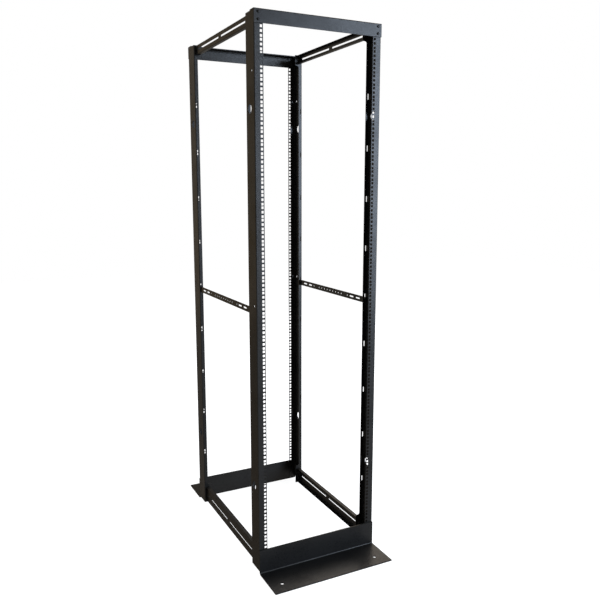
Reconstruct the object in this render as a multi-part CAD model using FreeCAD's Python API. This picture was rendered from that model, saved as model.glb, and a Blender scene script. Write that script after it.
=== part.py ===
import FreeCAD, Part
import math
import os

# Four-post open frame rack: four punched C-channel posts, an angle across the
# front and the back at the top and at the floor, slotted side rails between the
# front and back posts, and one hooked lacing bar on each side.
# Millimetres, +Z up, front towards -Y, origin on the floor under the middle.

# Rack pattern
unit_height = 44.45
unit_count = 44
holes_per_unit = 3
first_hole_height = 6.35
hole_pitch = 15.875
square_hole = 9.525
clear_opening = 450.85
hole_edge_distance = 7.125

# Overall frame
flange_width = 34.925
mounting_depth = 736.6

# Posts
post_depth = 76.2
post_sheet = 2.7
post_bend_radius = 0.5
post_floor_clearance = 12.0
return_lip = 16.5
ear_straight = 3.0
cable_hole_diameter = 33.0
cable_hole_setback = 44.45
cable_hole_units = (5, unit_count - 7)
ground_hole_diameter = 9.5
ground_hole_setback = 23.8
ground_hole_drops = (152.4, 990.6)
hook_slot_count = 9
hook_slot_pitch = 198.1
hook_slot_width = 4.4
hook_slot_height = 22.2
hook_slot_setback = 6.4
hook_row_rise = 1.9

# Angles across the top
top_angle_leg = 48.4
top_angle_cover = 38.1
top_angle_sheet = 3.175
top_angle_bend_radius = 0.5
top_angle_gap = 2.2
top_screw_pitch = 25.4
top_screw_inset = 15.6

# Angles at the floor
base_leg = 101.6
base_foot = 152.4
base_sheet = 4.76
base_bend_radius = 4.0
base_top_gap = 1.2
anchor_hole_diameter = 14.3
anchor_hole_spacing = 419.1
anchor_hole_reach = 101.6

# Side rails
rail_sheet = 2.0
rail_bend_radius = 0.5
rail_flange = 16.0
rail_setback = 10.35
top_rail_height = 38.1
top_rail_gap = 1.5
top_rail_slot_height = 7.2
bottom_rail_height = 70.7
bottom_rail_gap = 3.8
bottom_rail_slot_height = 5.4
rail_slot_bridge = 25.4
rail_slot_end_margin = 25.4

# Lacing bars
bar_height = 25.4
bar_sheet = 1.5
bar_neck_height = 9.2
bar_hook_length = 9.0
bar_hook_drop = 10.0
bar_end_clearance = 0.5
bar_slot_length = 31.75
bar_slot_height = 5.8
bar_slot_pitch = 50.8
bar_slot_end_distance = 52.8
bar_hole_diameter = 6.35
bar_row_hole_count = 9
bar_row_hole_pitch = 25.4
bar_single_hole_distance = 36.1

# Punched holes, and how far a cutter reaches past the sheet that it cuts
screw_hole_diameter = 7.0
punch_sides = 12
cut_margin = 5.0
edge_tolerance = 0.01

# Levels and planes that the pieces share
rack_zone_bottom = base_leg + base_top_gap
rack_zone_top = rack_zone_bottom + unit_count * unit_height
frame_height = rack_zone_top + top_angle_gap + top_angle_leg
post_bottom = post_floor_clearance
post_top = frame_height - top_angle_sheet - top_angle_bend_radius
middle_slot_height = (post_bottom + post_top) / 2 + hook_row_rise
half_opening = clear_opening / 2
half_width = half_opening + flange_width
half_depth = mounting_depth / 2
hole_column = half_opening + hole_edge_distance
lip_face = half_depth - post_depth
lip_edge = half_width - return_lip
ear_corner_radius = (lip_edge - half_opening - ear_straight) / 2
rail_web = half_width - rail_setback
bar_plane = half_width - hook_slot_setback
top_rail_middle = post_top - top_rail_gap - top_rail_height / 2
bottom_rail_middle = post_bottom + bottom_rail_gap + bottom_rail_height / 2

# Places of the screws, the rail slots and the bar slots
top_screw_column = half_width - top_screw_inset
top_screw_middle = frame_height - top_angle_leg / 2
top_screw_levels = [top_screw_middle - top_screw_pitch / 2, top_screw_middle + top_screw_pitch / 2]
rail_slot_start = rail_slot_bridge / 2
rail_slot_end = lip_face - rail_slot_end_margin
bar_outer_slot = lip_face - bar_slot_end_distance
bar_inner_slot = bar_outer_slot - bar_slot_pitch
bar_single_hole = bar_inner_slot - bar_single_hole_distance

ORIGIN = FreeCAD.Vector(0, 0, 0)
AXES = {
    "x": FreeCAD.Vector(1, 0, 0),
    "y": FreeCAD.Vector(0, 1, 0),
    "z": FreeCAD.Vector(0, 0, 1),
}
PLANE_AXES = {"xy": ("x", "y", "z"), "xz": ("x", "z", "y"), "yz": ("y", "z", "x")}
SIDES = (-1, 1)


def box_between(low, high):
    """A box from its lowest corner to its highest."""
    size = [b - a for a, b in zip(low, high)]
    return Part.makeBox(*size, FreeCAD.Vector(*low))


def round_cutter(axis, centre, diameter, length):
    """A round cutter along an axis, with its middle at a point."""
    start = FreeCAD.Vector(*centre) - AXES[axis] * (length / 2)
    return Part.makeCylinder(diameter / 2, length, start, AXES[axis])


def plane_points(points, plane):
    """Points of a plane, from pairs of distances along its two axes."""
    first, second, _ = PLANE_AXES[plane]
    return [AXES[first] * u + AXES[second] * v for u, v in points]


def extrude(section, plane, start, end):
    """A solid from a section, between two places along the plane's normal."""
    normal = AXES[PLANE_AXES[plane][2]]
    solid = section.extrude(normal * (end - start))
    solid.translate(normal * start)
    return solid


def outline_face(points, plane):
    """A face inside straight lines through points of a plane."""
    corners = plane_points(points, plane)
    return Part.Face(Part.makePolygon(corners + corners[:1]))


def punch(plane, centre, length, height, depth):
    """A few-sided cutter for a round hole, or for a round-ended slot.

    The slot runs along the first axis of the plane. The centre is given along the
    plane's two axes and then its normal.
    """
    u, v, w = centre
    reach = (length - height) / 2
    radius = height / 2 / math.cos(math.pi / punch_sides)
    outline = []
    for index in range(punch_sides):
        angle = (index + 0.5) * 2 * math.pi / punch_sides - math.pi / 2
        end = math.copysign(reach, math.cos(angle))
        outline.append((u + end + radius * math.cos(angle), v + radius * math.sin(angle)))
    return extrude(outline_face(outline, plane), plane, w - depth / 2, w + depth / 2)


def bend_arc(centre, ahead, turned, radius):
    """A quarter circle that turns from one direction to another."""
    outward = (ahead - turned).normalize()
    ends = (centre - turned * radius, centre + ahead * radius)
    return Part.Arc(ends[0], centre + outward * radius, ends[1]).toShape()


def bent_section(corners, sheet, bend_radius, plane):
    """The section of a sheet with square bends of one inner radius, as a face.

    The corners run along the outer surface. Every bend turns the same way, and
    the sheet lies on the side that the bends turn to.
    """
    points = plane_points(corners, plane)
    steps = [(b - a).normalize() for a, b in zip(points, points[1:])]
    outer_radius = bend_radius + sheet
    outer_from = points[0]
    inner_from = points[0] + steps[1] * sheet
    edges = [Part.makeLine(outer_from, inner_from)]
    for corner, ahead, turned in zip(points[1:], steps, steps[1:]):
        centre = corner + (turned - ahead) * outer_radius
        edges.append(Part.makeLine(outer_from, centre - turned * outer_radius))
        edges.append(bend_arc(centre, ahead, turned, outer_radius))
        edges.append(Part.makeLine(inner_from, centre - turned * bend_radius))
        edges.append(bend_arc(centre, ahead, turned, bend_radius))
        outer_from = centre + ahead * outer_radius
        inner_from = centre + ahead * bend_radius
    outer_to = points[-1]
    inner_to = points[-1] - steps[-2] * sheet
    edges.append(Part.makeLine(outer_from, outer_to))
    edges.append(Part.makeLine(inner_from, inner_to))
    edges.append(Part.makeLine(outer_to, inner_to))
    return Part.Face(Part.Wire(Part.__sortEdges__(edges)))


def mirrored(shape, axis):
    """The same piece on the other side of the middle."""
    return shape.mirror(ORIGIN, AXES[axis])


def ear_corners(post):
    """The edges where the return flange steps from its lip out to its ears."""
    found = []
    for x in (half_opening, lip_edge):
        for z in (rack_zone_bottom, rack_zone_top):
            for edge in post.Edges:
                middle = edge.CenterOfMass
                if math.hypot(middle.x - x, middle.z - z) < edge_tolerance:
                    found.append(edge)
    return found


def mounting_holes():
    """The square holes of a mounting flange, in the rack pattern."""
    reach = post_sheet + cut_margin
    half = square_hole / 2
    cutters = []
    for unit in range(unit_count):
        for index in range(holes_per_unit):
            height = rack_zone_bottom + unit * unit_height + first_hole_height + index * hole_pitch
            cutters.append(box_between(
                (hole_column - half, -half_depth - reach, height - half),
                (hole_column + half, -half_depth + reach, height + half),
            ))
    return cutters


def hook_slots():
    """The upright slots in the lip that lacing bars hook into."""
    reach = post_sheet + cut_margin
    cutters = []
    for index in range(hook_slot_count):
        height = middle_slot_height + (index - (hook_slot_count - 1) / 2) * hook_slot_pitch
        cutters.append(box_between(
            (bar_plane - hook_slot_width / 2, -lip_face - reach, height - hook_slot_height / 2),
            (bar_plane + hook_slot_width / 2, -lip_face + cut_margin, height + hook_slot_height / 2),
        ))
    return cutters


def web_holes():
    """The large cable holes, each level with the middle between the second and third
    square holes of a unit, and the small ground holes in the web."""
    reach = 2 * (post_sheet + cut_margin)
    second_hole_height = first_hole_height + hole_pitch
    cutters = []
    for unit in cable_hole_units:
        height = rack_zone_bottom + unit * unit_height + second_hole_height + hole_pitch / 2
        centre = (half_width, -half_depth + cable_hole_setback, height)
        cutters.append(round_cutter("x", centre, cable_hole_diameter, reach))
    for drop in ground_hole_drops:
        centre = (-half_depth + ground_hole_setback, rack_zone_top - drop, half_width)
        cutters.append(punch("yz", centre, ground_hole_diameter, ground_hole_diameter, reach))
    return cutters


def top_screw_holes(column):
    """The screw holes that join a top angle to one post."""
    reach = 2 * (top_angle_sheet + cut_margin)
    cutters = []
    for level in top_screw_levels:
        centre = (column, level, -half_depth)
        cutters.append(punch("xz", centre, screw_hole_diameter, screw_hole_diameter, reach))
    return cutters


def make_post():
    """The front right post: a channel with a punched mounting flange, a web and
    a return flange that is cut back to a lip between two ears."""
    corners = [
        (half_opening, -half_depth),
        (half_width, -half_depth),
        (half_width, -lip_face),
        (half_opening, -lip_face),
    ]
    section = bent_section(corners, post_sheet, post_bend_radius, "xy")
    post = extrude(section, "xy", post_bottom, post_top)
    post = post.cut(box_between(
        (half_opening - cut_margin, -lip_face - post_sheet - cut_margin, rack_zone_bottom),
        (lip_edge, -lip_face + cut_margin, rack_zone_top),
    ))
    post = post.makeFillet(ear_corner_radius, ear_corners(post))
    return post.cut(mounting_holes() + hook_slots() + web_holes() + top_screw_holes(top_screw_column))


def make_top_angle():
    """The front top angle: one leg on the front of the posts, one on their ends."""
    face = -half_depth - top_angle_sheet
    corners = [
        (face + top_angle_cover, frame_height),
        (face, frame_height),
        (face, frame_height - top_angle_leg),
    ]
    section = bent_section(corners, top_angle_sheet, top_angle_bend_radius, "yz")
    angle = extrude(section, "yz", -half_width, half_width)
    return angle.cut(top_screw_holes(-top_screw_column) + top_screw_holes(top_screw_column))


def make_base_angle():
    """The front base angle: an upright leg on the posts and a foot along the floor."""
    corners = [(-half_depth - base_foot, 0), (-half_depth, 0), (-half_depth, base_leg)]
    section = bent_section(corners, base_sheet, base_bend_radius, "yz")
    angle = extrude(section, "yz", -half_width, half_width)
    cutters = []
    for side in SIDES:
        centre = (side * anchor_hole_spacing / 2, -half_depth - anchor_hole_reach, base_sheet / 2)
        cutters.append(round_cutter("z", centre, anchor_hole_diameter, base_sheet + 2 * cut_margin))
    return angle.cut(cutters)


def make_rail(middle, height, slot_height):
    """A right side rail: a tray with a slotted web, two flanges and two end tabs.

    The flanges and tabs stop short of each other at the tray's corners, as the
    bends need.
    """
    low = middle - height / 2
    high = middle + height / 2
    tip = rail_web - rail_flange
    relief = rail_sheet + rail_bend_radius
    channel_corners = [(tip, low), (rail_web, low), (rail_web, high), (tip, high)]
    channel = bent_section(channel_corners, rail_sheet, rail_bend_radius, "xz")
    tab_corners = [(tip, -lip_face), (rail_web, -lip_face), (rail_web, lip_face), (tip, lip_face)]
    tabs = bent_section(tab_corners, rail_sheet, rail_bend_radius, "xy")
    rail = extrude(channel, "xz", -lip_face + relief, lip_face - relief)
    rail = rail.fuse(extrude(tabs, "xy", low + relief, high - relief)).removeSplitter()
    length = rail_slot_end - rail_slot_start
    depth = 2 * (rail_sheet + cut_margin)
    cutters = []
    for side in SIDES:
        centre = (side * (rail_slot_start + rail_slot_end) / 2, middle, rail_web)
        cutters.append(punch("yz", centre, length, slot_height, depth))
    return rail.cut(cutters)


def make_lacing_bar():
    """The right lacing bar: a punched flat bar whose hooked ends hang in the
    middle slots of the two right posts."""
    seat = middle_slot_height - hook_slot_height / 2
    top = seat + bar_neck_height
    body_end = lip_face - bar_end_clearance
    hook_start = lip_face + post_sheet + bar_end_clearance
    hook_end = hook_start + bar_hook_length
    half_outline = [
        (body_end, top - bar_height),
        (body_end, seat),
        (hook_start, seat),
        (hook_start, seat - bar_hook_drop),
        (hook_end, seat - bar_hook_drop),
        (hook_end, top),
    ]
    outline = half_outline + [(-y, z) for y, z in reversed(half_outline)]
    bar = extrude(outline_face(outline, "yz"), "yz", bar_plane - bar_sheet / 2, bar_plane + bar_sheet / 2)
    middle = top - bar_height / 2
    depth = 2 * (bar_sheet + cut_margin)
    row_start = -(bar_row_hole_count - 1) / 2 * bar_row_hole_pitch
    hole_places = [row_start + index * bar_row_hole_pitch for index in range(bar_row_hole_count)]
    hole_places += [side * bar_single_hole for side in SIDES]
    slot_places = [side * place for side in SIDES for place in (bar_inner_slot, bar_outer_slot)]
    cutters = []
    for y in hole_places:
        cutters.append(punch("yz", (y, middle, bar_plane), bar_hole_diameter, bar_hole_diameter, depth))
    for y in slot_places:
        cutters.append(punch("yz", (y, middle, bar_plane), bar_slot_length, bar_slot_height, depth))
    return bar.cut(cutters)


def make_pieces():
    """Every piece of the rack by name."""
    pieces = {}
    post = make_post()
    for end, end_post in (("front", post), ("rear", mirrored(post, "y"))):
        pieces[end + "_right_post"] = end_post
        pieces[end + "_left_post"] = mirrored(end_post, "x")
    for name, angle in (("top_angle", make_top_angle()), ("base_angle", make_base_angle())):
        pieces["front_" + name] = angle
        pieces["rear_" + name] = mirrored(angle, "y")
    side_pieces = {
        "top_rail": make_rail(top_rail_middle, top_rail_height, top_rail_slot_height),
        "bottom_rail": make_rail(bottom_rail_middle, bottom_rail_height, bottom_rail_slot_height),
        "lacing_bar": make_lacing_bar(),
    }
    for name, piece in side_pieces.items():
        pieces["right_" + name] = piece
        pieces["left_" + name] = mirrored(piece, "x")
    return pieces


os.makedirs("parts", exist_ok=True)
for name, piece in make_pieces().items():
    solid = piece.Solids[0]
    solid.exportStep("parts/" + name + ".step")
    print(name, "solids", len(piece.Solids), "valid", solid.isValid(), "volume", round(solid.Volume))
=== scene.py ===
import math

import bmesh
import bpy
from mathutils import Matrix, Vector


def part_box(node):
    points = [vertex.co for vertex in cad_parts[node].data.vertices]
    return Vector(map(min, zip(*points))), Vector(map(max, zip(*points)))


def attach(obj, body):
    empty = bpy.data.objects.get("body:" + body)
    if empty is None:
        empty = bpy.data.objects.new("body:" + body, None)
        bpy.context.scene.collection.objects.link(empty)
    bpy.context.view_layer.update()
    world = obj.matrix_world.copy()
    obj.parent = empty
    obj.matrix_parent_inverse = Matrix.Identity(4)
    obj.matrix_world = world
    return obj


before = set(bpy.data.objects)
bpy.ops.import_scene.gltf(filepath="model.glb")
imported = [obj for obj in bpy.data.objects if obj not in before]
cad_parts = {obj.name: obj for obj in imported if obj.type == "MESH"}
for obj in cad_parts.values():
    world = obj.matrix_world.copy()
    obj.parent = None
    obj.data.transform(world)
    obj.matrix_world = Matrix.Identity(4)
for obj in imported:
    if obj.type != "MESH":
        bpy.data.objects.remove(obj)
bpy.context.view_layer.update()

# Four-post open frame rack in black powder coat. Metres, +Z up, front towards -Y.

# Finish of the rack and of its screws, with grain scales in cells per metre
COAT_DARK = (0.0167, 0.0157, 0.0146, 1.0)
COAT_LIGHT = (0.0213, 0.0201, 0.0187, 1.0)
COAT_ROUGHNESS = (0.27, 0.38)
COAT_GRAIN_SCALE = 800.0
COAT_GRAIN_DEPTH = 0.0003
SCREW_DARK = (0.0140, 0.0132, 0.0123, 1.0)
SCREW_LIGHT = (0.0180, 0.0170, 0.0158, 1.0)
SCREW_ROUGHNESS = (0.32, 0.42)
SCREW_GRAIN_SCALE = 2500.0
SCREW_GRAIN_DEPTH = 0.0001
SHEEN_METALLIC = 0.62
SHEEN_EDGE = (0.489, 0.467, 0.444, 1.0)

# Patterns in the finish, with their scales in cells per metre
CLOUD_SCALE = 9.0
CLOUD_DETAIL = 4.0
CLOUD_SHARE = (0.1, 0.6)
SPECKLE_SCALE = 240.0
SPECKLE_SHARE = (0.1, 0.4)
FINE_DETAIL = 2.0
PATTERN_RANGE = (0.3, 0.7)
BLEND_STOPS = (0.35, 0.65)
GRAIN_STRENGTH = 0.5

# Screws with domed heads and their flange nuts, with the angle in degrees
HEAD_RADIUS = 0.0048
HEAD_HEIGHT = 0.0042
HEAD_RIM_HEIGHT = 0.00105
SOCKET_RADIUS = 0.0016
SOCKET_DEPTH = 0.0008
SOCKET_LAND_RADIUS = 0.0020
NUT_RADIUS = 0.0055
NUT_HEIGHT = 0.0050
NUT_TOP_RADIUS = 0.00517
NUT_SIDE_HEIGHT = 0.0045
NUT_FLANGE_RADIUS = 0.0066
NUT_FLANGE_HEIGHT = 0.0012
NUT_FLANGE_EDGE = 0.00072
THREAD_RADIUS = 0.0030
THREAD_START = 0.0025
THREAD_OUT = 0.0030
THREAD_CHAMFER = 0.0006
HEX_SIDES = 6
ROUND_STEPS = 24
DOME_STEPS = 5
SHARP_ANGLE = 32.0

# Places of the screws, from the rack's sides, a top angle's lower edge and a rail's middle
TOP_SCREW_INSET = 0.0156
TOP_SCREW_LEVELS = (0.0115, 0.0369)
RAIL_SCREW_INSET = 0.0185
RAIL_SCREW_SPREADS = {"top_rail": (0.0,), "bottom_rail": (-0.0159, 0.0159)}
POST_SHEET = 0.0027
RAIL_SHEET = 0.0020

# Camera, with its angles in degrees
CAMERA_PLACE = (-1.2031, -2.5947, 1.4981)
CAMERA_PITCH = 80.518
CAMERA_TURN = -26.723
IMAGE_SIZE = 600
FOCAL_PIXELS = 667.2
SENSOR_WIDTH = 36.0

# Studio, with the lights' powers in watts
WHITE = (1.0, 1.0, 1.0, 1.0)
FLOOR_HALF = 9.0
FLOOR_COLOUR = (0.2, 0.2, 0.2, 1.0)
FLOOR_ROUGHNESS = 0.9
FLOOR_LIFT = 0.96
WORLD_SHOWN = 1.0
WORLD_FILL = 0.25
KEY_PLACE = (3.6, -4.8, 2.05)
KEY_AIM = (0.1, 0.0, 1.3)
KEY_SIZE = (2.4, 3.3)
KEY_POWER = 775.0
KEY_COLOUR = (0.605, 0.76, 1.0)
BACK_PLACE = (3.0, 2.2, 3.7)
BACK_AIM = (0.0, -0.2, 0.2)
BACK_SIZE = (3.8, 3.2)
BACK_POWER = 440.0
BACK_COLOUR = (1.0, 1.0, 1.0)
SIDE_PLACE = (-1.75, 3.7, 1.85)
SIDE_AIM = (-0.2, 0.0, 1.3)
SIDE_SIZE = (1.3, 3.5)
SIDE_POWER = 42.0
SIDE_COLOUR = (0.95, 0.99, 1.0)


def new_material(name):
    """A node material, with its node tree and its shader."""
    material = bpy.data.materials.new(name)
    material.use_nodes = True
    tree = material.node_tree
    return material, tree, tree.nodes["Principled BSDF"]


def noise(tree, scale, detail):
    """A noise pattern fixed to the piece, with its scale in cells per metre."""
    place = tree.nodes.new("ShaderNodeTexCoord")
    pattern = tree.nodes.new("ShaderNodeTexNoise")
    pattern.inputs["Scale"].default_value = scale
    pattern.inputs["Detail"].default_value = detail
    tree.links.new(place.outputs["Object"], pattern.inputs["Vector"])
    return pattern.outputs["Fac"]


def ranged(tree, value, low, high):
    """A pattern's middle range stretched between two values."""
    mapped = tree.nodes.new("ShaderNodeMapRange")
    mapped.inputs["From Min"].default_value = PATTERN_RANGE[0]
    mapped.inputs["From Max"].default_value = PATTERN_RANGE[1]
    mapped.inputs["To Min"].default_value = low
    mapped.inputs["To Max"].default_value = high
    tree.links.new(value, mapped.inputs["Value"])
    return mapped.outputs["Result"]


def uneven_colour(tree, cloud, speckle, dark, light):
    """A colour that wanders between dark and light in clouds and speckles."""
    total = tree.nodes.new("ShaderNodeMath")
    total.operation = "ADD"
    tree.links.new(ranged(tree, cloud, *CLOUD_SHARE), total.inputs[0])
    tree.links.new(ranged(tree, speckle, *SPECKLE_SHARE), total.inputs[1])
    blend = tree.nodes.new("ShaderNodeValToRGB")
    for stop, place, colour in zip(blend.color_ramp.elements, BLEND_STOPS, (dark, light)):
        stop.position = place
        stop.color = colour
    tree.links.new(total.outputs["Value"], blend.inputs["Fac"])
    return blend.outputs["Color"]


def raised_grain(tree, scale, depth):
    """The surface's direction, disturbed by a fine grain."""
    bump = tree.nodes.new("ShaderNodeBump")
    bump.inputs["Strength"].default_value = GRAIN_STRENGTH
    bump.inputs["Distance"].default_value = depth
    tree.links.new(noise(tree, scale, FINE_DETAIL), bump.inputs["Height"])
    return bump.outputs["Normal"]


def coated(name, dark, light, roughness, grain_scale, grain_depth):
    """A dark coat with uneven colour and gloss and a fine raised grain."""
    material, tree, shader = new_material(name)
    shader.inputs["Metallic"].default_value = SHEEN_METALLIC
    shader.inputs["Specular IOR Level"].default_value = 0.0
    shader.inputs["Specular Tint"].default_value = SHEEN_EDGE
    cloud = noise(tree, CLOUD_SCALE, CLOUD_DETAIL)
    speckle = noise(tree, SPECKLE_SCALE, FINE_DETAIL)
    colour = uneven_colour(tree, cloud, speckle, dark, light)
    tree.links.new(colour, shader.inputs["Base Color"])
    tree.links.new(ranged(tree, speckle, *roughness), shader.inputs["Roughness"])
    tree.links.new(raised_grain(tree, grain_scale, grain_depth), shader.inputs["Normal"])
    return material


def seen_directly(tree):
    """1 for rays from the camera, from gloss and through glass, else 0."""
    path = tree.nodes.new("ShaderNodeLightPath")
    total = path.outputs["Is Camera Ray"]
    for ray in ("Is Glossy Ray", "Is Transmission Ray"):
        larger = tree.nodes.new("ShaderNodeMath")
        larger.operation = "MAXIMUM"
        tree.links.new(total, larger.inputs[0])
        tree.links.new(path.outputs[ray], larger.inputs[1])
        total = larger.outputs["Value"]
    return total


def strength_where_seen(tree, shown, otherwise):
    """A strength for where something is seen or mirrored, and another for its light."""
    strength = tree.nodes.new("ShaderNodeMapRange")
    strength.inputs["To Min"].default_value = otherwise
    strength.inputs["To Max"].default_value = shown
    tree.links.new(seen_directly(tree), strength.inputs["Value"])
    return strength.outputs["Result"]


def make_world():
    """A white studio: white where it is seen or mirrored, dimmer as a fill light."""
    world = bpy.data.worlds.new("studio")
    world.use_nodes = True
    tree = world.node_tree
    background = tree.nodes["Background"]
    background.inputs["Color"].default_value = WHITE
    strength = strength_where_seen(tree, WORLD_SHOWN, WORLD_FILL)
    tree.links.new(strength, background.inputs["Strength"])
    bpy.context.scene.world = world


def floor_material():
    """A plain matt floor that is lifted to white where it is seen, under its shadows."""
    material, tree, shader = new_material("pale_floor")
    shader.inputs["Roughness"].default_value = FLOOR_ROUGHNESS
    shader.inputs["Specular IOR Level"].default_value = 0.0
    shader.inputs["Base Color"].default_value = FLOOR_COLOUR
    shader.inputs["Emission Color"].default_value = WHITE
    lift = strength_where_seen(tree, FLOOR_LIFT, 0.0)
    tree.links.new(lift, shader.inputs["Emission Strength"])
    return material


def make_floor():
    """The plain floor under the rack."""
    reach = FLOOR_HALF
    corners = [(-reach, -reach, 0), (reach, -reach, 0), (reach, reach, 0), (-reach, reach, 0)]
    mesh = bpy.data.meshes.new("floor")
    mesh.from_pydata(corners, [], [(0, 1, 2, 3)])
    mesh.materials.append(floor_material())
    made = bpy.data.objects.new("floor", mesh)
    bpy.context.scene.collection.objects.link(made)


def area_light(name, place, aim, size, power, colour):
    """A rectangular softbox that points at a place."""
    data = bpy.data.lights.new(name, "AREA")
    data.shape = "RECTANGLE"
    data.size, data.size_y = size
    data.energy = power
    data.color = colour
    light = bpy.data.objects.new(name, data)
    light.location = place
    toward = Vector(aim) - Vector(place)
    light.rotation_euler = toward.to_track_quat("-Z", "Y").to_euler()
    light.visible_camera = False
    bpy.context.scene.collection.objects.link(light)


def make_camera():
    """The camera at the photograph's place."""
    data = bpy.data.cameras.new("camera")
    data.sensor_fit = "HORIZONTAL"
    data.sensor_width = SENSOR_WIDTH
    data.lens = FOCAL_PIXELS / IMAGE_SIZE * SENSOR_WIDTH
    camera = bpy.data.objects.new("camera", data)
    camera.location = CAMERA_PLACE
    camera.rotation_euler = (math.radians(CAMERA_PITCH), 0.0, math.radians(CAMERA_TURN))
    bpy.context.scene.collection.objects.link(camera)
    bpy.context.scene.camera = camera


def ring(mesh, radius, height, steps):
    """A closed ring of points round the screw's axis."""
    points = []
    for index in range(steps):
        angle = index * 2 * math.pi / steps
        points.append(mesh.verts.new((radius * math.cos(angle), radius * math.sin(angle), height)))
    return points


def band(mesh, lower, upper):
    """Faces between two rings, the second of which may have fewer points."""
    count = len(lower)
    share = count // len(upper)
    for index in range(count):
        following = (index + 1) % count
        corners = [lower[index], lower[following], upper[following // share]]
        if upper[index // share] is not corners[-1]:
            corners.append(upper[index // share])
        mesh.faces.new(corners)


def head_rings(mesh):
    """The rings of a low domed head with a six-sided socket."""
    rings = [
        ring(mesh, HEAD_RADIUS, 0.0, ROUND_STEPS),
        ring(mesh, HEAD_RADIUS, HEAD_RIM_HEIGHT, ROUND_STEPS),
    ]
    for index in range(1, DOME_STEPS + 1):
        angle = index / DOME_STEPS * math.pi / 2
        radius = SOCKET_LAND_RADIUS + (HEAD_RADIUS - SOCKET_LAND_RADIUS) * math.cos(angle)
        height = HEAD_RIM_HEIGHT + (HEAD_HEIGHT - HEAD_RIM_HEIGHT) * math.sin(angle)
        rings.append(ring(mesh, radius, height, ROUND_STEPS))
    rings.append(ring(mesh, SOCKET_RADIUS, HEAD_HEIGHT, HEX_SIDES))
    rings.append(ring(mesh, SOCKET_RADIUS, HEAD_HEIGHT - SOCKET_DEPTH, HEX_SIDES))
    return rings


def nut_rings(mesh):
    """The rings of a six-sided flange nut."""
    return [
        ring(mesh, NUT_FLANGE_RADIUS, 0.0, ROUND_STEPS),
        ring(mesh, NUT_FLANGE_RADIUS, NUT_FLANGE_EDGE, ROUND_STEPS),
        ring(mesh, NUT_RADIUS, NUT_FLANGE_HEIGHT, HEX_SIDES),
        ring(mesh, NUT_RADIUS, NUT_SIDE_HEIGHT, HEX_SIDES),
        ring(mesh, NUT_TOP_RADIUS, NUT_HEIGHT, HEX_SIDES),
    ]


def thread_rings(mesh):
    """The rings of a screw's end that stands out of its nut, chamfered at its tip."""
    tip = NUT_HEIGHT + THREAD_OUT
    return [
        ring(mesh, THREAD_RADIUS, THREAD_START, ROUND_STEPS),
        ring(mesh, THREAD_RADIUS, tip - THREAD_CHAMFER, ROUND_STEPS),
        ring(mesh, THREAD_RADIUS - THREAD_CHAMFER, tip, ROUND_STEPS),
    ]


def closed_form(mesh, rings):
    """A closed surface through rings, capped at both ends."""
    for lower, upper in zip(rings, rings[1:]):
        band(mesh, lower, upper)
    mesh.faces.new(list(reversed(rings[0])))
    mesh.faces.new(rings[-1])


def fastener_mesh(name, forms, material):
    """A mesh of closed forms through rings, with its edges kept crisp."""
    mesh = bmesh.new()
    for form in forms:
        closed_form(mesh, form(mesh))
    bmesh.ops.recalc_face_normals(mesh, faces=mesh.faces)
    data = bpy.data.meshes.new(name)
    mesh.to_mesh(data)
    mesh.free()
    data.materials.append(material)
    data.shade_smooth()
    data.set_sharp_from_angle(angle=math.radians(SHARP_ANGLE))
    return data


def place_fastener(name, data, point, outward):
    """One fastener on a face of the rack, pointing away from that face."""
    made = bpy.data.objects.new(name, data)
    turn = Vector(outward).to_track_quat("Z", "Y").to_matrix().to_4x4()
    made.matrix_world = Matrix.Translation(point) @ turn
    bpy.context.scene.collection.objects.link(made)
    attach(made, "root")


def bolt(name, meshes, point, outward, thickness):
    """A screw head on one face and its nut on the other face of what it joins."""
    head, nut = meshes
    out = Vector(outward)
    place_fastener(name + "_screw", head, Vector(point), out)
    place_fastener(name + "_nut", nut, Vector(point) - out * thickness, -out)


def face_towards(box, way):
    """The place along Y of a box's front face, for way -1, or of its back face."""
    low, high = box
    return low.y if way < 0 else high.y


def angle_bolts(name, meshes, angle, way, column, thickness):
    """The screws that hold one end of a top angle to its post."""
    lower_edge = angle[0].z
    for index, level in enumerate(TOP_SCREW_LEVELS):
        point = (column, face_towards(angle, way), lower_edge + level)
        bolt(f"{name}_{index}", meshes, point, (0, way, 0), thickness)


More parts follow.
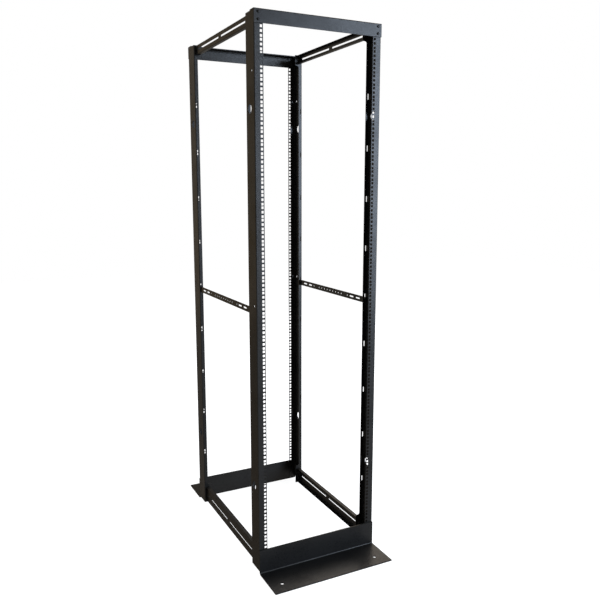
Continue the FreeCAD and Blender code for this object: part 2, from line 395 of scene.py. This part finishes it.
def rail_bolts(name, meshes, rail, way, column, spreads):
    """The screws that hold one end tab of a side rail to its post."""
    low, high = rail
    tab = face_towards(rail, way) - way * RAIL_SHEET
    middle = (low.z + high.z) / 2
    for index, spread in enumerate(spreads):
        point = (column, tab, middle + spread)
        bolt(f"{name}_{index}", meshes, point, (0, -way, 0), RAIL_SHEET + POST_SHEET)


def make_fasteners(meshes):
    """The screws of the top angles and of the side rails' end tabs."""
    for end, way in (("front", -1), ("rear", 1)):
        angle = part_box(end + "_top_angle")
        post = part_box(end + "_left_post")
        thickness = abs(face_towards(angle, way) - face_towards(post, way)) + POST_SHEET
        half_width = angle[1].x
        for side, hand in (("left", -1), ("right", 1)):
            angle_column = hand * (half_width - TOP_SCREW_INSET)
            rail_column = hand * (half_width - RAIL_SCREW_INSET)
            angle_bolts(f"{end}_{side}_angle", meshes, angle, way, angle_column, thickness)
            for rail, spreads in RAIL_SCREW_SPREADS.items():
                rail_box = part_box(f"{side}_{rail}")
                rail_bolts(f"{end}_{side}_{rail}", meshes, rail_box, way, rail_column, spreads)


powder_coat = coated(
    "powder_coat", COAT_DARK, COAT_LIGHT, COAT_ROUGHNESS, COAT_GRAIN_SCALE, COAT_GRAIN_DEPTH
)
black_screw = coated(
    "black_screw", SCREW_DARK, SCREW_LIGHT, SCREW_ROUGHNESS, SCREW_GRAIN_SCALE, SCREW_GRAIN_DEPTH
)

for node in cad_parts.values():
    for slot in node.material_slots:
        slot.material = powder_coat

screw_head = fastener_mesh("screw_head", (head_rings,), black_screw)
flange_nut = fastener_mesh("flange_nut", (nut_rings, thread_rings), black_screw)
make_fasteners((screw_head, flange_nut))

make_world()
make_floor()
area_light("key_softbox", KEY_PLACE, KEY_AIM, KEY_SIZE, KEY_POWER, KEY_COLOUR)
area_light("back_softbox", BACK_PLACE, BACK_AIM, BACK_SIZE, BACK_POWER, BACK_COLOUR)
area_light("side_softbox", SIDE_PLACE, SIDE_AIM, SIDE_SIZE, SIDE_POWER, SIDE_COLOUR)
make_camera()
bpy.context.scene.view_settings.view_transform = "Standard"
